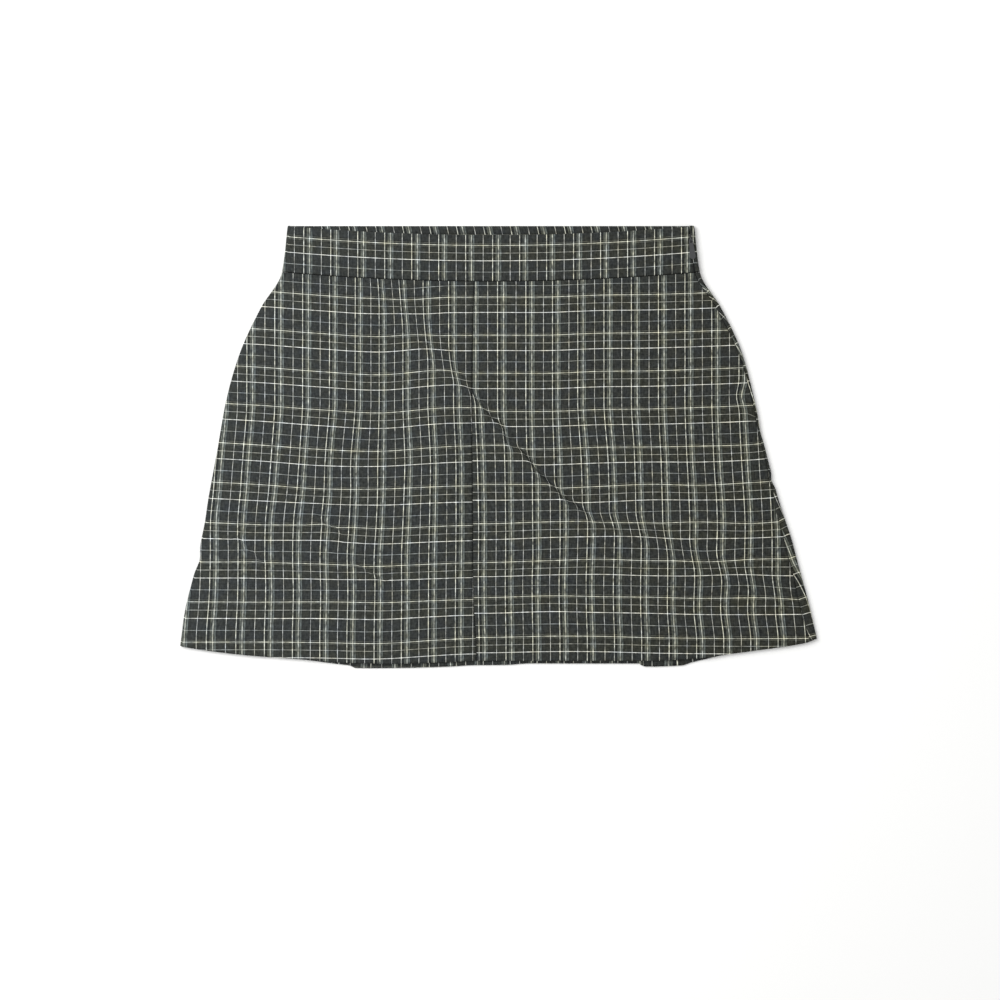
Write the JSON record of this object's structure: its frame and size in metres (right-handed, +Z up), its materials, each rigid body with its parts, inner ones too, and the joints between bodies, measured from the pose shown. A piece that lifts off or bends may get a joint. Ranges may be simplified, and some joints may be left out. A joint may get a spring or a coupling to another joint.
{
  "type": "skort",
  "caption": "Short A-line plaid skort laid flat, with a skirt of front halves and back, inner shorts, a waistband and a concealed side zip whose pull swings up.",
  "frame": {"origin": "centre of the bounding box on the surface that the garment lies on", "axes": "+Z up from that surface, +Y from the hem to the waist, +X to the right of someone who looks down with the waist away from them"},
  "size_m": [0.548, 0.3806, 0.0099],
  "materials": {
    "plaid_cloth": "matte woven plaid, charcoal ground with fine cream, yellow, grey and teal lines",
    "band_cloth": "the same matte woven plaid, made up double",
    "shorts_cloth": "matte plain charcoal cloth",
    "tape_cloth": "matte woven tape",
    "dark_metal": "satin dark enamel"
  },
  "bodies": {
    "garment": {"front_left": "plaid_cloth", "front_right": "plaid_cloth", "back": "plaid_cloth", "waistband_front": "band_cloth", "waistband_back": "band_cloth", "shorts_front_left": "shorts_cloth", "shorts_front_right": "shorts_cloth", "shorts_back_left": "shorts_cloth", "shorts_back_right": "shorts_cloth", "zip_tape": "tape_cloth", "zip_slider": "dark_metal"},
    "pull": {"zip_pull": "dark_metal"}
  },
  "joints": [
    {"name": "pull_swing", "type": "hinge", "parent": "garment", "child": "pull", "pos_m": [0.16528, 0.1784, 0.00555], "axis": [-0.9925, -0.122, 0], "range_deg": [0, 170]}
  ]
}
